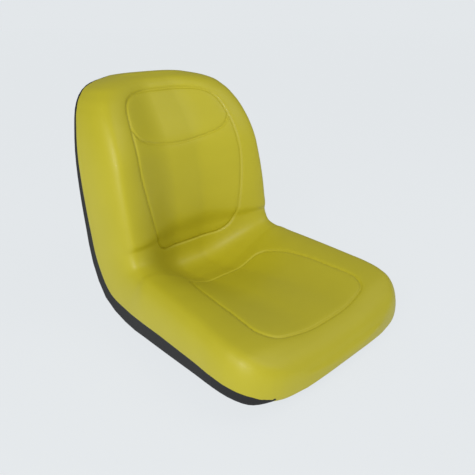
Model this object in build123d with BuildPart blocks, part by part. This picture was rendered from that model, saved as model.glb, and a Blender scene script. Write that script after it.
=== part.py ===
"""High-back bucket seat for a riding mower, on a pair of adjuster rails.

Millimetres, +Z up. The sitter faces -Y, and +X is the sitter's left.
The origin is the centre of the four mounting holes, on the underside of the lower rails.
"""

from build123d import *
from math import cos, radians, sin
import os

os.makedirs("parts", exist_ok=True)

# ---- cushion and pan ----
seat_width = 470.0        # across the front of the cushion
back_width = 422.0        # across the back, at the waist and up to the shoulders
nose_y = -215.0           # front tip of the cushion
hip_y = 110.0             # where the seat ends and the bend into the back begins
hip_z = 200.0             # where the bend ends and the back begins
back_top_z = 493.0        # top of the back
rim_z = 61.0              # height of the pan's rim at the seat
wall = 3.0                # the pan's wall, and the padded vinyl cover that stands on its rim
hem_gap = 0.2             # between the cover's hem and the pan's rim
foam_gap = 0.2            # between the moulded foam and what holds it
end_relief = 1.6          # how much shallower the foam is at the nose and at the top
end_notch = 1.0           # height of the rim's notch at the nose and at the top, where the hem ends
side_roll = 34.0          # from the crest of a bolster out to the side
roll_share = 0.2          # and at most this share of the half width, near the nose and the top
pan_corner = 7.0          # outer radius where the pan's side turns under
pan_rise = 1.5            # the pan's back stands out this far past its margins
pan_flange = 30.0         # least width of the pan's sloping margin
mount_margin = 22.0       # the pan's flat bottom reaches this far past the centre of each rail

# ---- rails ----
rail_spacing = 286.0      # centre to centre of the two rails, and of their mounting holes
sheet = 2.0               # thickness of the rail steel
lower_length = 300.0
lower_width = 40.0
lower_height = 16.0
lip = 8.0                 # how far the lower rail's top edges turn in
tab_length = 20.0         # each end of the lower rail's floor, past its walls
mount_hole_y = 160.0      # from the middle to each mounting hole
mount_hole_r = 4.25
upper_length = 260.0
upper_width = 20.0        # across the outside of the upper rail's hat
rail_top = 26.0           # height of the upper rail's top face, where the pan sits
flange_bottom = 5.0       # height of the underside of the upper rail's flanges
flange_reach = 17.0       # from the rail's middle out to the flange's edge
running_gap = 0.3         # between what slides
glide_y = 45.0            # from the middle to the centre of each nylon glide
glide_length = 40.0
notch_pitch = 12.0
notches_each_way = 6
stop_head_r = 3.5
stop_shank_r = 2.0
stop_x = 14.0             # from the rail's middle to a stop rivet

# ---- bolts from the upper rails into the pan ----
bolt_y = 100.0
bolt_r = 4.0
bolt_hole_r = 4.25
bolt_head_flats = 13.0
bolt_head_height = 5.3
bolt_grip_past_nut = 2.0
nut_height = 8.0
nut_flange_r = 9.0
nut_flange_height = 2.0
foam_pocket_gap = 1.5

# ---- latch ----
pivot_x = 36.0            # from the left rail's middle
pivot_y = 45.0
pivot_r = 4.0
pivot_gap = 0.05
lever_bottom = 8.0
lever_thick = 3.0
lever_width = 14.0
lever_hub_r = 9.0
lever_bend_y = -128.0
grip_start_x = 60.0       # from the left rail's middle
grip_end_x = 88.0
grip_y = -150.0
grip_width = 22.0
grip_thick = 11.0
tooth_width = 5.0
tooth_gap = 0.4           # between the lifted tooth and the rail's wall
notch_width = 9.0
notch_bottom = 6.5
notch_top = 12.5
bracket_bottom = 17.5
bracket_length = 40.0
rivet_head_r = 7.0
rivet_head_height = 2.5
rivet_foot_height = 1.5
shoulder_r = 6.0
latch_spring_r = 5.4
latch_wire_r = 0.6
latch_turns = 3
latch_spring_pitch = 1.4
latch_spring_gap = 0.1    # above and below the coil

# ---- operator presence switch ----
switch_y = -20.0
housing_flange_r = 20.0
housing_flange_height = 3.5
housing_body_r = 15.0
housing_bottom = 9.0
neck_r = 12.0
neck_top = 36.0
chamber_r = 9.0
chamber_bottom = 12.0
chamber_top = 32.0
stem_r = 5.0
stem_gap = 0.05
stem_bottom = 21.0
stem_top = 46.0
collar_r = 8.0
collar_height = 2.0
button_r = 8.0
button_height = 3.0
ring_r = 19.0
ring_height = 4.0
switch_spring_r = 6.8
switch_wire_r = 0.6
switch_turns = 6
plug_width = 15.0
plug_depth = 10.0
plug_wall = 1.6
plug_bottom = 3.0
blade_width = 3.0
blade_thick = 0.8
blade_gap = 3.0           # from the middle to the centre of each blade

# ---- sizes worked out from the ones above ----
rail_x = rail_spacing / 2
latch_x = rail_x + pivot_x
flat_half = rail_x + mount_margin
mount_flat = upper_length / 2 + mount_margin
travel = notch_pitch * notches_each_way
pan_floor_top = rail_top + wall
coil_rise = latch_turns * latch_spring_pitch
coil_start = lever_bottom - latch_spring_gap - latch_wire_r - coil_rise
upper_half = upper_width / 2
lower_half = lower_width / 2

# Each seat section stands across the seat at a share of the way from the nose to the hip:
# share, half width as a share of half the seat's width, height of the rim under rim_z,
# bolster height over the rim, middle height over the rim, depth of the pan's side under the rim
seat_sections = [
    (0.0000, 0.540, 14.0, 15.0, 15.0, 7.0),
    (0.0185, 0.700, 14.0, 27.0, 26.0, 8.5),
    (0.0400, 0.790, 13.5, 36.0, 33.0, 11.0),
    (0.0680, 0.855, 12.5, 44.0, 38.5, 15.0),
    (0.1050, 0.915, 10.0, 50.0, 42.0, 20.0),
    (0.1500, 0.957, 6.5, 55.0, 43.5, 23.0),
    (0.2310, 0.990, 3.0, 59.0, 43.5, 25.0),
    (0.3380, 0.998, 0.5, 62.0, 42.5, 27.0),
    (0.4770, 0.983, 0.0, 66.5, 43.0, 30.0),
    (0.6460, 0.968, 0.0, 71.5, 42.5, 33.0),
    (0.8150, 0.953, 0.0, 76.0, 36.0, 36.0),
    (1.0000, 0.942, 0.0, 80.0, 25.0, 37.0),
]
# Each section of the bend fans out from the hip point: angle from straight down, half width as a
# share of half the back's width, distance to the rim, bolster height, middle height, pan depth
bend_sections = [
    (22.5, 1.028, 150.0, 89.0, 16.0, 40.0),
    (45.0, 1.014, 175.0, 108.0, 17.0, 36.0),
    (67.5, 1.011, 175.0, 111.0, 46.0, 30.0),
]
# Each back section lies level at a share of the way from the hip to the top:
# share, half width as a share of half the back's width, distance of the rim behind hip_y,
# bolster height, middle height, pan depth
back_sections = [
    (0.000, 1.013, 176.0, 117.0, 65.0, 25.0),
    (0.180, 1.013, 184.0, 116.0, 67.0, 23.0),
    (0.370, 1.004, 194.0, 114.0, 69.0, 20.0),
    (0.540, 0.982, 204.0, 111.0, 67.0, 17.0),
    (0.690, 0.946, 212.0, 97.0, 53.0, 15.0),
    (0.810, 0.895, 222.0, 81.0, 39.0, 14.0),
    (0.895, 0.820, 231.0, 66.0, 32.0, 13.0),
    (0.950, 0.720, 238.0, 50.0, 30.0, 12.0),
    (0.978, 0.600, 243.0, 35.0, 26.0, 11.0),
    (1.000, 0.440, 247.0, 17.0, 16.0, 10.0),
]


def seat_sizes():
    """List every section: y and z at the rim, angle, half width, bolster, middle and pan depth."""
    rows = []
    for share, width, drop, crest, middle, depth in seat_sections:
        y = nose_y + share * (hip_y - nose_y)
        rows.append((y, rim_z - drop, 0, width * seat_width / 2, crest, middle, depth))
    for angle, width, reach, crest, middle, depth in bend_sections:
        y = hip_y + reach * sin(radians(angle))
        z = hip_z - reach * cos(radians(angle))
        rows.append((y, z, angle, width * back_width / 2, crest, middle, depth))
    for share, width, reach, crest, middle, depth in back_sections:
        z = hip_z + share * (back_top_z - hip_z)
        rows.append((hip_y + reach, z, 90, width * back_width / 2, crest, middle, depth))
    return rows


def halved(rows):
    """Put a section halfway between each pair, on a smooth curve through its neighbours."""
    finer = [rows[0]]
    for i in range(len(rows) - 1):
        before = rows[max(i - 1, 0)]
        after = rows[min(i + 2, len(rows) - 1)]
        pair = zip(before, rows[i], rows[i + 1], after)
        finer.append(tuple((9 * (b + c) - a - d) / 16 for a, b, c, d in pair))
        finer.append(rows[i + 1])
    return finer


def seat_stations():
    """List each section's plane at the rim and its sizes, from the nose to the top."""
    stations = []
    for y, z, angle, half, crest, middle, depth in halved(seat_sizes()):
        across = sin(radians(angle))
        down = cos(radians(angle))
        plane = Plane((0, y, z), x_dir=(1, 0, 0), z_dir=(0, -down, -across))
        floor = depth + pan_rise
        if y > -mount_flat and angle < 30:
            floor = (z - rail_top) / down
        stations.append((plane, half, crest, middle, depth, floor))
    return stations


def draw_crown(half, crest, middle, inset, base):
    """Draw the padded top of a section, from the left rim over both bolsters."""
    roll = min(side_roll, roll_share * half)
    left = [
        (half - inset, base),
        (half - 0.04 * roll - inset, crest * 0.40 - 0.3 * inset),
        (half - 0.28 * roll - 0.7 * inset, crest * 0.78 - 0.7 * inset),
        (half - roll, crest - inset),
        (half * 0.64, middle + 0.42 * (crest - middle) - inset),
        (half * 0.44, middle - inset),
    ]
    right = [(-x, h) for x, h in reversed(left)]
    Spline(left + [(0, middle - inset)] + right)


def draw_pan_side(edge, flat, depth, floor, radius):
    """Draw a section's bottom, its sloping margins, its corners and its upright sides."""
    bend = radius * (1 - cos(radians(45)))
    Line((-flat, -floor), (flat, -floor))
    for side in (-1, 1):
        Line((side * flat, -floor), (side * (edge - radius), -depth))
        ThreePointArc((side * (edge - radius), -depth), (side * (edge - bend), bend - depth),
                      (side * edge, radius - depth))
        Line((side * edge, radius - depth), (side * edge, 0))


def pan_sizes(half, depth, floor, inset):
    """Work out the sizes that draw_pan_side needs, drawn in by an inset."""
    flat = min(flat_half, half - pan_flange)
    radius = min(pan_corner, 0.7 * depth) - inset
    return half - inset, flat, depth - inset, floor - inset, radius


def make_shell(stations, is_pan):
    """Loft the pan or the cover as a thin wall that is closed at the nose and at the top."""
    base = 0 if is_pan else hem_gap
    ends = (0, len(stations) - 1)
    with BuildPart() as shape:
        for i, (plane, half, crest, middle, depth, floor) in enumerate(stations):
            with BuildSketch(plane):
                with BuildLine():
                    if is_pan:
                        outside = pan_sizes(half, depth, floor, 0)
                        inside = pan_sizes(half, depth, floor, wall)
                        if i in ends:
                            edge, flat = inside[:2]
                            inside = (edge, flat, end_notch, 1.5 * end_notch, 0.5 * end_notch)
                        draw_pan_side(*outside)
                        draw_pan_side(*inside)
                    else:
                        draw_crown(half, crest, middle, 0, base)
                        if i in ends:
                            crest = middle = wall + end_notch
                        draw_crown(half, crest, middle, wall, base)
                    for side in (-1, 1):
                        Line((side * half, base), (side * (half - wall), base))
                make_face()
        loft(ruled=True)
    return shape.part


def make_moulding(stations):
    """Loft the foam that fills the pan and the cover, with a gap all round."""
    inset = wall + foam_gap
    ends = []
    for (plane, half, crest, middle, depth, floor), away in ((stations[0], -1), (stations[-1], 1)):
        plane = plane.offset(away * inset)
        ends.append((plane, half - inset, crest, middle, depth - end_relief, floor - end_relief))
    with BuildPart() as shape:
        for plane, half, crest, middle, depth, floor in [ends[0], *stations[2:-2], ends[1]]:
            with BuildSketch(plane):
                with BuildLine():
                    draw_pan_side(*pan_sizes(half, depth, floor, inset))
                    draw_crown(half, crest, middle, inset, 0)
                make_face()
        loft(ruled=True)
    return shape.part


def save(builder, name):
    """Label a finished piece and write its STEP file."""
    builder.part.label = name
    export_step(builder.part, f"parts/{name}.step")


stations = seat_stations()

bolt_places = [(x, y) for x in (-rail_x, rail_x) for y in (-bolt_y, bolt_y)]
switch_place = (0, switch_y)

# ---- cushion ----
with BuildPart() as seat_cover:
    add(make_shell(stations, is_pan=False))
save(seat_cover, "seat_cover")

with BuildPart() as seat_foam:
    add(make_moulding(stations))
    # pockets over the nuts, the switch's ring and its button
    with BuildSketch(Plane.XY.offset(rail_top)):
        with Locations(*bolt_places):
            Circle(nut_flange_r + foam_pocket_gap)
    extrude(amount=wall + nut_height + foam_pocket_gap, mode=Mode.SUBTRACT)
    with BuildSketch(Plane.XY.offset(rail_top)):
        with Locations(switch_place):
            Circle(ring_r + foam_pocket_gap)
    extrude(amount=neck_top + foam_pocket_gap - rail_top, mode=Mode.SUBTRACT)
    with BuildSketch(Plane.XY.offset(rail_top)):
        with Locations(switch_place):
            Circle(button_r + foam_pocket_gap)
    extrude(amount=stem_top + running_gap - rail_top, mode=Mode.SUBTRACT)
save(seat_foam, "seat_foam")

with BuildPart() as seat_pan:
    add(make_shell(stations, is_pan=True))
    # flat seats for the upper rails, the nuts and the switch
    with BuildSketch(Plane.XY.offset(rail_top)):
        Rectangle(2 * flat_half, 2 * mount_flat)
    extrude(amount=-2 * wall, mode=Mode.SUBTRACT)
    with BuildSketch(Plane.XY.offset(pan_floor_top)):
        with Locations(*bolt_places):
            Circle(nut_flange_r + foam_pocket_gap)
        with Locations(switch_place):
            Circle(ring_r + foam_pocket_gap)
    extrude(amount=nut_height, mode=Mode.SUBTRACT)
    with BuildSketch(Plane.XY.offset(rail_top - wall)):
        with Locations(*bolt_places):
            Circle(bolt_hole_r)
        with Locations(switch_place):
            Circle(neck_r)
    extrude(amount=3 * wall, mode=Mode.SUBTRACT)
save(seat_pan, "seat_pan")

# ---- rails ----
def across_plane(x, length):
    """Return the upright plane across a rail's rear end, facing forward along the rail."""
    return Plane((x, length / 2, 0), x_dir=(1, 0, 0), z_dir=(0, -1, 0))


def upper_rail(x):
    """Make one upper rail: a hat section with a flange along each side."""
    foot = flange_bottom
    inner = upper_half - sheet
    with BuildPart() as rail:
        with BuildSketch(across_plane(x, upper_length)):
            with BuildLine():
                Polyline(
                    (-flange_reach, foot), (-inner, foot), (-inner, rail_top - sheet),
                    (inner, rail_top - sheet), (inner, foot), (flange_reach, foot),
                    (flange_reach, foot + sheet), (upper_half, foot + sheet),
                    (upper_half, rail_top), (-upper_half, rail_top),
                    (-upper_half, foot + sheet), (-flange_reach, foot + sheet), close=True)
            make_face()
        extrude(amount=upper_length)
        with BuildSketch(Plane.XY.offset(rail_top - 2 * sheet)):
            with Locations((x, -bolt_y), (x, bolt_y)):
                Circle(bolt_hole_r)
        extrude(amount=3 * sheet, mode=Mode.SUBTRACT)
        outer_edges = rail.edges().filter_by(Axis.Y).group_by(Axis.Z)[-1]
        fillet(outer_edges, radius=0.75 * sheet)
    return rail


def lower_rail(x):
    """Make one lower rail: a channel with lips turned in, and a mounting tab at each end."""
    edge = lower_half
    mouth = lower_half - lip
    with BuildPart() as rail:
        with BuildSketch(across_plane(x, lower_length)):
            with BuildLine():
                Polyline(
                    (-edge, 0), (edge, 0), (edge, lower_height), (mouth, lower_height),
                    (mouth, lower_height - sheet), (edge - sheet, lower_height - sheet),
                    (edge - sheet, sheet), (-edge + sheet, sheet),
                    (-edge + sheet, lower_height - sheet), (-mouth, lower_height - sheet),
                    (-mouth, lower_height), (-edge, lower_height), close=True)
            make_face()
        extrude(amount=lower_length)
        top_edges = rail.edges().filter_by(Axis.Y).group_by(Axis.Z)[-1]
        fillet(top_edges.sort_by(Axis.X)[0], radius=0.75 * sheet)
        top_edges = rail.edges().filter_by(Axis.Y).group_by(Axis.Z)[-1]
        fillet(top_edges.sort_by(Axis.X)[-1], radius=0.75 * sheet)
        with BuildSketch(Plane.XY):
            with Locations((x, 0)):
                RectangleRounded(lower_width, lower_length + 2 * tab_length, 6)
        extrude(amount=sheet)
        with BuildSketch(Plane.XY):
            with Locations((x, -mount_hole_y), (x, mount_hole_y)):
                Circle(mount_hole_r)
            with Locations(*[(x + dx, y) for dx in (-stop_x, stop_x) for y in (-stop_y, stop_y)]):
                Circle(stop_shank_r)
        extrude(amount=sheet, mode=Mode.SUBTRACT)
    return rail


stop_y = glide_y + glide_length / 2 + travel + running_gap + stop_head_r

for side, name in ((-1, "right"), (1, "left")):
    save(upper_rail(side * rail_x), f"upper_rail_{name}")

save(lower_rail(-rail_x), "lower_rail_right")

with BuildPart() as lower_rail_left:
    add(lower_rail(rail_x).part)
    # the notches that the latch's tooth drops into, through the outer wall
    notch_plane = Plane((rail_x + lower_half - 2 * sheet, 0, 0), x_dir=(0, 1, 0), z_dir=(1, 0, 0))
    with BuildSketch(notch_plane):
        with Locations((0, (notch_bottom + notch_top) / 2)):
            with GridLocations(notch_pitch, 1, 2 * notches_each_way + 1, 1):
                RectangleRounded(notch_width, notch_top - notch_bottom, 1)
    extrude(amount=3 * sheet, mode=Mode.SUBTRACT)
save(lower_rail_left, "lower_rail_left")

with BuildPart() as stop_rivets:
    stop_places = [(x, y) for rail in (-rail_x, rail_x) for x in (rail - stop_x, rail + stop_x)
                   for y in (-stop_y, stop_y)]
    with BuildSketch(Plane.XY):
        with Locations(*stop_places):
            Circle(stop_shank_r)
    extrude(amount=sheet)
    with BuildSketch(Plane.XY.offset(sheet)):
        with Locations(*stop_places):
            Circle(stop_head_r)
    extrude(amount=flange_bottom - sheet - running_gap)
save(stop_rivets, "stop_rivets")

with BuildPart() as nylon_glides:
    for rail in (-rail_x, rail_x):
        for side in (-1, 1):
            inner = upper_half
            outer = lower_half - sheet - running_gap
            middle = rail + side * (inner + outer) / 2
            with BuildSketch(Plane.XY.offset(sheet + running_gap)):
                with Locations((middle, -glide_y), (middle, glide_y)):
                    RectangleRounded(outer - inner, glide_length, 1)
            extrude(amount=lower_height - 2 * sheet - 2 * running_gap)
            with BuildSketch(Plane.XY.offset(flange_bottom)):
                with Locations((rail + side * (inner + flange_reach) / 2, 0)):
                    Rectangle(flange_reach - inner, upper_length)
            extrude(amount=sheet, mode=Mode.SUBTRACT)
save(nylon_glides, "nylon_glides")

# ---- bolts and nuts ----
with BuildPart() as pan_bolts:
    with BuildSketch(Plane.XY.offset(rail_top - sheet - bolt_head_height)):
        with Locations(*bolt_places):
            RegularPolygon(bolt_head_flats / 2, 6, major_radius=False)
    extrude(amount=bolt_head_height)
    with BuildSketch(Plane.XY.offset(rail_top - sheet)):
        with Locations(*bolt_places):
            Circle(bolt_r)
    extrude(amount=sheet + wall + nut_height + bolt_grip_past_nut - foam_pocket_gap)
save(pan_bolts, "pan_bolts")

with BuildPart() as pan_nuts:
    with BuildSketch(Plane.XY.offset(pan_floor_top)):
        with Locations(*bolt_places):
            Circle(nut_flange_r)
    extrude(amount=nut_flange_height)
    with BuildSketch(Plane.XY.offset(pan_floor_top + nut_flange_height)):
        with Locations(*bolt_places):
            RegularPolygon(bolt_head_flats / 2, 6, major_radius=False)
    extrude(amount=nut_height - nut_flange_height)
    with BuildSketch(Plane.XY.offset(pan_floor_top)):
        with Locations(*bolt_places):
            Circle(bolt_r)
    extrude(amount=nut_height, mode=Mode.SUBTRACT)
save(pan_nuts, "pan_nuts")

# ---- latch ----
with BuildPart() as latch_bracket:
    # a plate welded to the left upper rail, passing over the lower rail's lip
    start = rail_x + upper_half
    end = latch_x + bracket_length / 4
    with BuildSketch(Plane.XY.offset(bracket_bottom)):
        with Locations(((start + end) / 2, pivot_y)):
            Rectangle(end - start, bracket_length)
    extrude(amount=sheet)
    fillet(latch_bracket.edges().filter_by(Axis.Z).group_by(Axis.X)[-1], radius=6)
    with Locations((latch_x, pivot_y, bracket_bottom + sheet)):
        Hole(pivot_r)
save(latch_bracket, "latch_bracket")

with BuildPart() as latch_rivet:
    # a shouldered rivet that hangs the lever below its bracket
    low_head = coil_start - latch_wire_r - latch_spring_gap - rivet_foot_height
    with BuildSketch(Plane.XY.offset(low_head)):
        with Locations((latch_x, pivot_y)):
            Circle(rivet_head_r)
    extrude(amount=rivet_foot_height)
    with BuildSketch(Plane.XY.offset(low_head)):
        with Locations((latch_x, pivot_y)):
            Circle(pivot_r)
    extrude(amount=bracket_bottom + sheet - low_head)
    with BuildSketch(Plane.XY.offset(lever_bottom + lever_thick + running_gap)):
        with Locations((latch_x, pivot_y)):
            Circle(shoulder_r)
    extrude(amount=bracket_bottom - lever_bottom - lever_thick - running_gap)
    with BuildSketch(Plane.XY.offset(bracket_bottom + sheet)):
        with Locations((latch_x, pivot_y)):
            Circle(rivet_head_r)
    extrude(amount=rivet_head_height)
save(latch_rivet, "latch_rivet")

tooth_tip = rail_x + lower_half + tooth_gap
with BuildPart() as latch_lever:
    with BuildSketch(Plane.XY.offset(lever_bottom)):
        with Locations((latch_x, pivot_y)):
            Circle(lever_hub_r)
        with BuildLine():
            FilletPolyline((latch_x, pivot_y), (latch_x, lever_bend_y),
                           (rail_x + grip_start_x, grip_y), (rail_x + grip_end_x - 4, grip_y),
                           radius=12)
            offset(amount=lever_width / 2, side=Side.BOTH, kind=Kind.ARC)
        make_face()
        with Locations(((tooth_tip + latch_x) / 2, 0)):
            Rectangle(latch_x - tooth_tip, tooth_width)
    extrude(amount=lever_thick)
    with Locations((latch_x, pivot_y, lever_bottom + lever_thick)):
        Hole(pivot_r + pivot_gap)
save(latch_lever, "latch_lever")

with BuildPart() as lever_grip:
    grip_length = grip_end_x - grip_start_x
    grip_middle = (rail_x + (grip_start_x + grip_end_x) / 2, grip_y)
    with BuildSketch(Plane.XY.offset(lever_bottom + lever_thick / 2 - grip_thick / 2)):
        with Locations(grip_middle):
            RectangleRounded(grip_length, grip_width, 9)
    extrude(amount=grip_thick)
    fillet(lever_grip.faces().group_by(Axis.Z)[-1].edges(), radius=3)
    fillet(lever_grip.faces().group_by(Axis.Z)[0].edges(), radius=3)
    add(latch_lever.part, mode=Mode.SUBTRACT)
save(lever_grip, "lever_grip")

with BuildPart() as latch_spring:
    coil_centre = (latch_x, pivot_y, coil_start)
    with BuildLine():
        coil = Helix(latch_spring_pitch, coil_rise, latch_spring_r, center=coil_centre)
    with BuildSketch(Plane(coil @ 0, z_dir=coil % 0)):
        Circle(latch_wire_r)
    sweep()
save(latch_spring, "latch_spring")

# ---- operator presence switch ----
def disc(plane_z, radius, height, mode=Mode.ADD):
    """Add or cut a round slab on the switch's axis."""
    with BuildSketch(Plane.XY.offset(plane_z)) as slab:
        with Locations(switch_place):
            Circle(radius)
    extrude(slab.sketch, amount=height, mode=mode)


with BuildPart() as switch_housing:
    disc(housing_bottom, housing_body_r, rail_top - housing_bottom)
    disc(rail_top - housing_flange_height, housing_flange_r, housing_flange_height)
    disc(rail_top, neck_r, neck_top - rail_top)
    disc(chamber_bottom, chamber_r, chamber_top - chamber_bottom, Mode.SUBTRACT)
    disc(chamber_top, stem_r + stem_gap, neck_top - chamber_top, Mode.SUBTRACT)
    with BuildSketch(Plane.XY.offset(plug_bottom)):
        with Locations(switch_place):
            RectangleRounded(plug_width, plug_depth, 2)
            Rectangle(plug_width - 2 * plug_wall, plug_depth - 2 * plug_wall, mode=Mode.SUBTRACT)
    extrude(amount=housing_bottom - plug_bottom)
save(switch_housing, "switch_housing")

with BuildPart() as switch_blades:
    blades = [(-blade_gap, switch_y), (blade_gap, switch_y)]
    with BuildSketch(Plane.XY.offset(plug_bottom + 1)):
        with Locations(*blades):
            Rectangle(blade_thick, blade_width)
    extrude(amount=housing_bottom - plug_bottom - 1)
save(switch_blades, "switch_blades")

with BuildPart() as switch_ring:
    with BuildSketch(Plane.XY.offset(pan_floor_top)):
        with Locations(switch_place):
            RegularPolygon(ring_r, 12)
            Circle(neck_r, mode=Mode.SUBTRACT)
    extrude(amount=ring_height)
save(switch_ring, "switch_ring")

with BuildPart() as switch_plunger:
    disc(stem_bottom, stem_r, stem_top - stem_bottom)
    disc(chamber_top - collar_height, collar_r, collar_height)
    disc(stem_top - button_height, button_r, button_height)
    fillet(switch_plunger.edges().group_by(Axis.Z)[-1], radius=1)
save(switch_plunger, "switch_plunger")

with BuildPart() as switch_spring:
    bottom = chamber_bottom + switch_wire_r
    rise = chamber_top - collar_height - switch_wire_r - bottom
    with BuildLine():
        turns = Helix(rise / switch_turns, rise, switch_spring_r, center=(0, switch_y, bottom))
    with BuildSketch(Plane(turns @ 0, z_dir=turns % 0)):
        Circle(switch_wire_r)
    sweep()
save(switch_spring, "switch_spring")
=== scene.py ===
import math
import bpy
import numpy as np
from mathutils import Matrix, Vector
from mathutils.kdtree import KDTree


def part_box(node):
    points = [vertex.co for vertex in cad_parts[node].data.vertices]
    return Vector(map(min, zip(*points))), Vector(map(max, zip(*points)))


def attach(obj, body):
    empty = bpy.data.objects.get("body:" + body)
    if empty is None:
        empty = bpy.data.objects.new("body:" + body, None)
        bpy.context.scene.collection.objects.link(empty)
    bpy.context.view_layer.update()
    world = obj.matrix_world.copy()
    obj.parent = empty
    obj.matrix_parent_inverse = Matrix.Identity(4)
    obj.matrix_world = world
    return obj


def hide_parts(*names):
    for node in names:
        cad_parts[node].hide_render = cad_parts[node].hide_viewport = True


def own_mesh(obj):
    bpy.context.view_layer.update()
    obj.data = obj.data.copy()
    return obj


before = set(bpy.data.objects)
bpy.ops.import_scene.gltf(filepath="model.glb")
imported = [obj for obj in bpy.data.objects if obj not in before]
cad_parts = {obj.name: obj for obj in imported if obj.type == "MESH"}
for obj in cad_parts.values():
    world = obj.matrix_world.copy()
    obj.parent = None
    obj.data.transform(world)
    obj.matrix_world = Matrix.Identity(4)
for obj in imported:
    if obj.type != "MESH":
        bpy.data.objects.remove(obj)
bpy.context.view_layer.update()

# Cushion: one moulded foam bucket under a fitted vinyl cover, pressed with seams round the seat
# panel, the back panel and the headrest. The cover is vinyl on a knit backing, drawn tight over
# the foam and held by its hem at the pan's rim. It wraps over the pan at the nose and the top.
cover_low, cover_high = (Vector(corner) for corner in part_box("seat_cover"))
seat_half = 0.2350
back_half = 0.2110
nose_y = cover_low.y
hip_y = 0.110
hip_z = 0.200
top_z = cover_high.z
rim_z = 0.061
side_roll = 0.034
# share of the way from the nose to the hip, half width as a share of seat_half, then in millimetres
# the rim's drop, the bolster's height and the middle's height over the rim
seat_sections = [
    (0.0000, 0.540, 14.0, 15.0, 15.0), (0.0185, 0.700, 14.0, 27.0, 26.0),
    (0.0400, 0.790, 13.5, 36.0, 33.0), (0.0680, 0.855, 12.5, 44.0, 38.5),
    (0.1050, 0.915, 10.0, 50.0, 42.0), (0.1500, 0.957, 6.5, 55.0, 43.5),
    (0.2310, 0.990, 3.0, 59.0, 43.5), (0.3380, 0.998, 0.5, 62.0, 42.5),
    (0.4770, 0.983, 0.0, 66.5, 43.0), (0.6460, 0.968, 0.0, 71.5, 42.5),
    (0.8150, 0.953, 0.0, 76.0, 36.0), (1.0000, 0.942, 0.0, 80.0, 25.0),
]
# the bend fans out from the hip point: degrees from straight down, half width, reach to the rim
bend_sections = [
    (22.5, 1.028, 150.0, 89.0, 16.0), (45.0, 1.014, 175.0, 108.0, 17.0),
    (67.5, 1.011, 175.0, 111.0, 46.0),
]
# share of the way from the hip to the top, half width, how far the rim lies behind the hip point
back_sections = [
    (0.000, 1.013, 176.0, 117.0, 65.0), (0.180, 1.013, 184.0, 116.0, 67.0),
    (0.370, 1.004, 194.0, 114.0, 69.0), (0.540, 0.982, 204.0, 111.0, 67.0),
    (0.690, 0.946, 212.0, 97.0, 53.0), (0.810, 0.895, 222.0, 81.0, 39.0),
    (0.895, 0.820, 231.0, 66.0, 32.0), (0.950, 0.720, 238.0, 50.0, 30.0),
    (0.978, 0.600, 243.0, 35.0, 26.0), (1.000, 0.440, 247.0, 17.0, 16.0),
]
hem_overhang = 0.0008      # the cover stands out past the pan's side
hem_drop = 0.0012          # its hem hangs this far below the pan's rim
hem_tuck = 0.003           # and turns in this far
wrap_drop = 0.0130         # where the cover wraps under the nose or over the top, it hangs lower
wrap_tuck = 0.010          # and turns in further
wrap_belly = 0.002         # with its underside bulging this much
nose_wrap_end = 0.11       # share of the seat's length where the nose's wrap ends
nose_wrap_fade = 0.06      # and the length over which it fades
top_wrap = 0.06            # share of the back's height that wraps over the top
nose_cap = 0.007           # roundness of the nose, out past the pan's end
top_cap = 0.004            # and of the top
cap_start = math.radians(50)  # where on its rounding a cap takes over from the section
cap_steps = 12
cap_narrowing = 0.8        # below 1, a cap stays wide for longer than it stays tall
cap_smallest = 0.02        # share of the section that closes a cap
roll_share = 0.2           # the side's roll is at most this share of the half width
roll_power = 2 / 2.6       # squareness of the roll, where 1 is round
panel_start = 0.15         # share of the half width where the dish begins to rise
step = 0.0016              # spacing of the mesh
half_columns = 130
hem_columns = 7
under_columns = 14
groove_width = 0.0025      # half the width of a pressed seam
groove_depth = 0.0026
pillow_width = 0.0075      # the padding draws down gently beside a seam
pillow_share = 0.30        # by this share of its depth
groove_reach = 0.020       # and not at all past here
seam_step = 1.0            # millimetres between points along a seam


def section_rows():
    """List y, z, angle, half width, bolster and middle height, and how far the cover wraps under."""
    rows = []
    for share, width, drop, crest, middle in seat_sections:
        y = nose_y + share * (hip_y - nose_y)
        wrap = min(max((nose_wrap_end - share) / nose_wrap_fade, 0.0), 1.0)
        wrap = wrap * wrap * (3 - 2 * wrap)
        rows.append((y, rim_z - drop / 1000, 0, width * seat_half, crest / 1000, middle / 1000, wrap))
    for angle, width, reach, crest, middle in bend_sections:
        y = hip_y + reach / 1000 * math.sin(math.radians(angle))
        z = hip_z - reach / 1000 * math.cos(math.radians(angle))
        rows.append((y, z, angle, width * back_half, crest / 1000, middle / 1000, 0.0))
    for share, width, reach, crest, middle in back_sections:
        z = hip_z + share * (top_z - hip_z)
        wrap = max(0.0, 1 - (1 - share) / top_wrap)
        y = hip_y + reach / 1000
        rows.append((y, z, 90, width * back_half, crest / 1000, middle / 1000, wrap))
    return np.array(rows)


def smooth_rows(rows, spacing):
    """Run a smooth curve through the rows and return it at closely spaced steps."""
    steps = np.linalg.norm(np.diff(rows[:, :2], axis=0), axis=1)
    along = np.concatenate([[0], np.cumsum(steps)])
    slopes = np.gradient(rows, along, axis=0)
    at = np.linspace(0, along[-1], int(along[-1] / spacing))
    i = np.clip(np.searchsorted(along, at, side="right") - 1, 0, len(rows) - 2)
    gap = steps[i][:, None]
    t = ((at - along[i]) / steps[i])[:, None]
    return ((2 * t**3 - 3 * t**2 + 1) * rows[i] + (t**3 - 2 * t**2 + t) * gap * slopes[i]
            + (3 * t**2 - 2 * t**3) * rows[i + 1] + (t**3 - t**2) * gap * slopes[i + 1])


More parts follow.
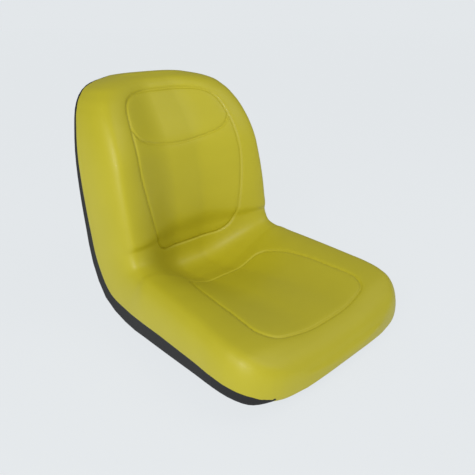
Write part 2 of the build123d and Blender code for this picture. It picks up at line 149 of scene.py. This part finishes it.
def section_loop(half, crest, middle, wrap):
    """Return one section's closed loop: the left hem, the crown, the right hem and the underside."""
    roll = min(side_roll, roll_share * half)
    turn = np.linspace(0, math.pi / 2, half_columns // 3)
    edge_x = half - roll + (roll + hem_overhang) * np.cos(turn) ** roll_power
    edge_h = crest * np.sin(turn) ** roll_power
    x = np.linspace(half - roll, 0, half_columns - half_columns // 3 + 1)[1:]
    t = np.clip((x / half - panel_start) / (1 - roll / half - panel_start), 0, 1)
    h = middle + (crest - middle) * t**2 * (3 - 2 * t)
    drop = hem_drop + wrap * wrap_drop
    tuck = hem_tuck + wrap_tuck * wrap
    bend = np.linspace(0, math.pi / 2, hem_columns)[:-1]
    hem_x = half + hem_overhang - tuck * (1 - np.sin(bend))
    hem_h = -drop * np.cos(bend)
    left_x = np.concatenate([hem_x, edge_x, x])
    left_h = np.concatenate([hem_h, edge_h, h])
    across = np.linspace(-1, 1, under_columns + 2)[1:-1] * (half + hem_overhang - tuck)
    belly = -drop - wrap * wrap_belly * np.clip(2.2 * (1 - np.abs(across) / half), 0, 1)
    return (np.concatenate([left_x, -left_x[-2::-1], across]),
            np.concatenate([left_h, left_h[-2::-1], belly]))


def cap_loops(place, x, h, reach, outward):
    """Draw a section's loop in step by step to round off one end."""
    loops = []
    middle = (h.min() + h.max()) / 2
    for turn in np.linspace(cap_start, math.pi / 2, cap_steps)[1:]:
        shrink = max(math.cos(turn) / math.cos(cap_start), cap_smallest)
        ahead = reach * (math.sin(turn) - math.sin(cap_start)) / (1 - math.sin(cap_start))
        loops.append(place(x * shrink ** cap_narrowing, middle + (h - middle) * shrink, outward * ahead))
    return loops


def cushion_loops(rows):
    """Place every section's loop in space, with a rounded cap before the first and after the last."""
    loops = []
    for number, (y, z, angle, half, crest, middle, wrap) in enumerate(rows):
        across = math.sin(math.radians(angle))
        down = math.cos(math.radians(angle))
        x, h = section_loop(half, crest, middle, min(max(wrap, 0), 1))

        def place(x, h, ahead=0.0):
            return np.stack([x, y - h * across + ahead * down, z + h * down + ahead * across], axis=1)

        if number == 0:
            loops += cap_loops(place, x, h, nose_cap, -1)[::-1]
        loops.append(place(x, h))
        if number == len(rows) - 1:
            loops += cap_loops(place, x, h, top_cap, 1)
    return np.array(loops)


def closed_curve(points, spacing):
    """Round a ring of points into a closed smooth curve at even spacing."""
    ring = np.array(points, dtype=float)
    curve = []
    for i in range(len(ring)):
        p0, p1, p2, p3 = (ring[(i + k) % len(ring)] for k in (-1, 0, 1, 2))
        for t in np.linspace(0, 1, max(2, int(np.linalg.norm(p2 - p1) / spacing)), endpoint=False):
            curve.append(0.5 * (2 * p1 + (p2 - p0) * t + (2 * p0 - 5 * p1 + 4 * p2 - p3) * t**2
                                + (3 * p1 - p0 - 3 * p2 + p3) * t**3))
    return np.array(curve)


def mirrored(side):
    """Close a left-hand outline with its mirror image."""
    return side + [(-x, v) for x, v in reversed(side)]


loops = cushion_loops(smooth_rows(section_rows(), step))
count, ring = loops.shape[:2]
points = loops.reshape(-1, 3)
top_column = np.zeros(ring, bool)
top_column[hem_columns - 1:ring - under_columns - hem_columns + 1] = True
is_top = np.tile(top_column, count)

# the pressed seams, in millimetres: seat panel and back panel outlines, and the headrest's line
seat_seam = closed_curve(mirrored([
    (38, -168), (87, -163), (125, -154), (143, -133), (147, -112), (142, -63), (138, -19),
    (129, 36), (118, 72), (103, 99), (70, 111)]), seam_step) / 1000
back_seam = closed_curve(mirrored([
    (50, 132), (90, 144), (112, 175), (125, 231), (133, 280), (137, 322), (135, 362),
    (131, 399), (121, 437), (98, 457), (50, 463)]), seam_step) / 1000
head_x = np.linspace(-0.130, 0.130, 260)
head_z = 0.357 + 0.007 * (head_x / 0.064) ** 2 + 0.010 * (head_x / 0.122) ** 12
head_seam = np.stack([head_x, head_z], axis=1)

depth = np.zeros(len(points))
for seam, flat_axes, keep in (
        (seat_seam, (0, 1), points[:, 2] < 0.135),
        (back_seam, (0, 2), (points[:, 2] > 0.120) & (points[:, 1] > 0.100)),
        (head_seam, (0, 2), (points[:, 2] > 0.300) & (points[:, 1] > 0.100))):
    chosen = np.flatnonzero(keep & is_top)
    flat = KDTree(len(chosen))
    for i in chosen:
        flat.insert((points[i, flat_axes[0]], points[i, flat_axes[1]], 0), int(i))
    flat.balance()
    lifted = KDTree(len(seam))
    for number, (a, b) in enumerate(seam):
        near = flat.find_n((a, b, 0), 3)
        other = np.mean([points[i] for _, i, _ in near], axis=0)
        spot = [a, other[1], b] if flat_axes[1] == 2 else [a, b, other[2]]
        lifted.insert(spot, number)
    lifted.balance()
    for i in chosen:
        away = lifted.find(points[i])[2]
        if away < groove_reach:
            press = math.exp(-(away / groove_width) ** 4)
            press += pillow_share * math.exp(-(away / pillow_width) ** 2)
            depth[i] = max(depth[i], groove_depth * press)

faces = []
for r in range(count - 1):
    for c in range(ring):
        a, b = r * ring + c, r * ring + (c + 1) % ring
        faces.append((a, a + ring, b + ring, b))
faces.append(tuple(range(ring)))
faces.append(tuple((count - 1) * ring + c for c in reversed(range(ring))))
mesh = bpy.data.meshes.new("cover")
mesh.from_pydata(points.tolist(), [], faces)
mesh.polygons.foreach_set("use_smooth", [True] * len(mesh.polygons))
normals = np.empty(len(points) * 3)
mesh.vertices.foreach_get("normal", normals)
normals = normals.reshape(-1, 3)
centre_row = count // 4 * ring + ring // 2 - under_columns // 2
if normals[centre_row, 2] < 0:
    mesh.flip_normals()
    normals = -normals
mesh.vertices.foreach_set("co", (points - normals * depth[:, None]).ravel())
mesh.update()
cover = bpy.data.objects.new("cover", mesh)
bpy.context.scene.collection.objects.link(cover)
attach(cover, "seat")
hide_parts("seat_cover", "seat_foam")


def value_node(nodes, kind, **inputs):
    """Add one shader node with its input values."""
    node = nodes.new(kind)
    for name, value in inputs.items():
        node.inputs[name.replace("_", " ")].default_value = value
    return node


def finish_material(name, low, high, rough, scale, bump, metallic=0.0, coat=0.0):
    """Make a material whose colour, roughness and surface vary with a mottled noise."""
    material = bpy.data.materials.new(name)
    material.use_nodes = True
    nodes, links = material.node_tree.nodes, material.node_tree.links
    shader = nodes["Principled BSDF"]
    shader.inputs["Metallic"].default_value = metallic
    shader.inputs["Coat Weight"].default_value = coat
    place = nodes.new("ShaderNodeTexCoord")
    broad = value_node(nodes, "ShaderNodeTexNoise", Scale=14.0, Detail=3.0)
    fine = value_node(nodes, "ShaderNodeTexNoise", Scale=scale, Detail=4.0)
    colour = nodes.new("ShaderNodeMix")
    colour.data_type = "RGBA"
    colour.inputs[6].default_value = (*low, 1)
    colour.inputs[7].default_value = (*high, 1)
    links.new(place.outputs["Object"], broad.inputs["Vector"])
    links.new(place.outputs["Object"], fine.inputs["Vector"])
    links.new(broad.outputs["Fac"], colour.inputs[0])
    links.new(colour.outputs[2], shader.inputs["Base Color"])
    spread = value_node(nodes, "ShaderNodeMapRange", To_Min=rough[0], To_Max=rough[1])
    links.new(fine.outputs["Fac"], spread.inputs["Value"])
    links.new(spread.outputs["Result"], shader.inputs["Roughness"])
    relief = value_node(nodes, "ShaderNodeBump", Strength=bump, Distance=0.0003)
    links.new(fine.outputs["Fac"], relief.inputs["Height"])
    links.new(relief.outputs["Normal"], shader.inputs["Normal"])
    return material


# Vinyl: satin, smooth to the eye, with a leather-like grain finer than a millimetre
cover.data.materials.append(finish_material(
    "vinyl", (0.470, 0.412, 0.010), (0.515, 0.455, 0.014), (0.46, 0.58), 1400.0, 0.10, coat=0.02))


def paint(finish, *names):
    """Give CAD nodes a material through their slots."""
    for name in names:
        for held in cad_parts[name].material_slots:
            held.material = finish


# Pan: black plastic moulded in one piece behind the whole cushion, with a fine texture on its
# outside. The rails bolt to its flat bottom.
pan_plastic = finish_material(
    "pan_plastic", (0.005, 0.005, 0.0055), (0.009, 0.009, 0.0095), (0.62, 0.78), 900.0, 0.25)
paint(pan_plastic, "seat_pan")

# Rails: pressed steel, bright plated. The lower pair bolts to the mower, and the upper pair slides
# in it under the pan.
rail_steel = finish_material(
    "rail_steel", (0.42, 0.42, 0.41), (0.55, 0.55, 0.53), (0.28, 0.45), 260.0, 0.12, metallic=1.0)
paint(rail_steel, "upper_rail_left", "upper_rail_right", "lower_rail_left", "lower_rail_right")

# Stops, bolts and nuts: steel, plated with a warmer tint than the rails. The rivets stop the slide,
# and the bolts and flanged nuts hold the pan to the upper rails.
bolt_steel = finish_material(
    "bolt_steel", (0.55, 0.53, 0.46), (0.66, 0.63, 0.54), (0.22, 0.36), 420.0, 0.08, metallic=1.0)
paint(bolt_steel, "stop_rivets", "pan_bolts", "pan_nuts")

# Glides: pale nylon blocks pushed onto the upper rails' flanges, to run in the lower rails.
nylon = finish_material(
    "nylon", (0.66, 0.65, 0.60), (0.74, 0.73, 0.68), (0.38, 0.50), 500.0, 0.10)
paint(nylon, "nylon_glides")

# Latch: a steel bracket welded to the left upper rail, and a flat lever hung below it on a
# shouldered rivet. The lever's tooth drops in the lower rail's notches.
paint(rail_steel, "latch_bracket", "latch_lever")
paint(bolt_steel, "latch_rivet")

# Latch spring: a coil of bare drawn wire round the rivet.
spring_wire = finish_material(
    "spring_wire", (0.30, 0.30, 0.30), (0.42, 0.42, 0.42), (0.25, 0.40), 600.0, 0.08, metallic=1.0)
paint(spring_wire, "latch_spring", "switch_spring")

# Grip: soft black vinyl pushed over the lever's end.
grip_vinyl = finish_material(
    "grip_vinyl", (0.012, 0.012, 0.012), (0.020, 0.020, 0.020), (0.50, 0.66), 700.0, 0.25)
paint(grip_vinyl, "lever_grip")

# Seat switch: a moulded black housing and its ring, through the pan's bottom, with a grey button
# that the cushion presses and two brass blades in the socket below.
switch_plastic = finish_material(
    "switch_plastic", (0.014, 0.014, 0.015), (0.022, 0.022, 0.023), (0.34, 0.48), 800.0, 0.15)
button_plastic = finish_material(
    "button_plastic", (0.20, 0.20, 0.21), (0.25, 0.25, 0.26), (0.36, 0.48), 800.0, 0.10)
blade_brass = finish_material(
    "blade_brass", (0.66, 0.47, 0.17), (0.74, 0.55, 0.22), (0.22, 0.34), 500.0, 0.06, metallic=1.0)
paint(switch_plastic, "switch_housing", "switch_ring")
paint(button_plastic, "switch_plunger")
paint(blade_brass, "switch_blades")

# Switch spring: drawn steel wire coiled round the plunger, shortened as the button is pressed.
# It stands on the chamber's floor and carries the plunger's collar.
spring_low, spring_high = (Vector(corner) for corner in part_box("switch_spring"))
wire = 0.0006              # radius of the wire
coil_turns = 6
coil_sides = 10            # facets round the wire
coil_steps = 40 * coil_turns
coil_centre = (spring_low + spring_high) / 2
coil_radius = (spring_high.x - spring_low.x) / 2 - wire
coil_points = []
for i in range(coil_steps + 1):
    turned = 2 * math.pi * coil_turns * i / coil_steps
    rise = spring_low.z + wire + (spring_high.z - spring_low.z - 2 * wire) * i / coil_steps
    for k in range(coil_sides):
        around = 2 * math.pi * k / coil_sides
        reach = coil_radius + wire * math.cos(around)
        coil_points.append((coil_centre.x + reach * math.cos(turned),
                            coil_centre.y + reach * math.sin(turned), rise + wire * math.sin(around)))
coil_faces = [tuple(range(coil_sides)),
              tuple(coil_steps * coil_sides + k for k in reversed(range(coil_sides)))]
for i in range(coil_steps):
    for k in range(coil_sides):
        a, b = i * coil_sides + k, i * coil_sides + (k + 1) % coil_sides
        coil_faces.append((a, a + coil_sides, b + coil_sides, b))
coil_mesh = bpy.data.meshes.new("plunger_coil")
coil_mesh.from_pydata(coil_points, [], coil_faces)
coil_mesh.polygons.foreach_set("use_smooth", [True] * len(coil_mesh.polygons))
coil_mesh.materials.append(spring_wire)
coil = bpy.data.objects.new("plunger_coil", coil_mesh)
bpy.context.scene.collection.objects.link(coil)
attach(coil, "seat")
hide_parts("switch_spring")
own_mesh(coil)

# Studio: a wide, round, pale paper floor that glows a little, so that it meets the background with
# no edge. The sky lights the seat less than it shows, and two soft lights shape it.
floor_radius = 40
floor_z = -0.001
sweep_turns = 32
sweep_points = []
for turn in range(sweep_turns):
    angle = 2 * math.pi * turn / sweep_turns
    sweep_points.append((floor_radius * math.cos(angle), floor_radius * math.sin(angle), floor_z))
floor_mesh = bpy.data.meshes.new("floor")
floor_mesh.from_pydata(sweep_points, [], [tuple(range(sweep_turns))])
floor = bpy.data.objects.new("floor", floor_mesh)
bpy.context.scene.collection.objects.link(floor)
floor_paint = bpy.data.materials.new("floor_paint")
floor_paint.use_nodes = True
paper = floor_paint.node_tree.nodes["Principled BSDF"]
paper.inputs["Base Color"].default_value = (0.05, 0.05, 0.05, 1)
paper.inputs["Emission Color"].default_value = (0.768, 0.799, 0.823, 1)
paper.inputs["Emission Strength"].default_value = 0.95
paper.inputs["Roughness"].default_value = 0.9
# seen from below, the floor lets the underside show
facing = floor_paint.node_tree.nodes.new("ShaderNodeNewGeometry")
clear = floor_paint.node_tree.nodes.new("ShaderNodeBsdfTransparent")
either = floor_paint.node_tree.nodes.new("ShaderNodeMixShader")
floor_out = floor_paint.node_tree.nodes["Material Output"]
floor_paint.node_tree.links.new(facing.outputs["Backfacing"], either.inputs[0])
floor_paint.node_tree.links.new(paper.outputs["BSDF"], either.inputs[1])
floor_paint.node_tree.links.new(clear.outputs["BSDF"], either.inputs[2])
floor_paint.node_tree.links.new(either.outputs["Shader"], floor_out.inputs["Surface"])
floor_mesh.materials.append(floor_paint)

world = bpy.data.worlds.new("studio")
bpy.context.scene.world = world
world.use_nodes = True
world.node_tree.nodes["Background"].inputs["Color"].default_value = (0.768, 0.799, 0.823, 1)
seen = world.node_tree.nodes.new("ShaderNodeLightPath")
level = world.node_tree.nodes.new("ShaderNodeMapRange")
level.inputs["To Min"].default_value = 0.34
level.inputs["To Max"].default_value = 1.0
world.node_tree.links.new(seen.outputs["Is Camera Ray"], level.inputs["Value"])
backdrop = world.node_tree.nodes["Background"]
world.node_tree.links.new(level.outputs["Result"], backdrop.inputs["Strength"])


def soft_box(name, place, aim, size, power):
    """Hang one large soft light."""
    light = bpy.data.lights.new(name, "AREA")
    light.shape = "DISK"
    light.size = size
    light.energy = power
    lamp = bpy.data.objects.new(name, light)
    lamp.location = place
    lamp.rotation_euler = (Vector(aim) - Vector(place)).to_track_quat("-Z", "Y").to_euler()
    bpy.context.scene.collection.objects.link(lamp)


soft_box("key", (-1.9, -0.9, 1.3), (0, 0.05, 0.2), 1.0, 33)
soft_box("fill", (0.9, -1.2, 2.0), (0, 0.05, 0.2), 1.6, 14)

bpy.context.scene.view_settings.view_transform = "Standard"
lens = bpy.data.cameras.new("camera")
lens.lens = 39.05
lens.sensor_width = 36
camera = bpy.data.objects.new("camera", lens)
camera.location = (-0.6893, -0.6303, 0.6008)
camera.rotation_euler = (math.radians(90 - 22.9), 0, math.radians(-44.5))
bpy.context.scene.collection.objects.link(camera)
bpy.context.scene.camera = camera
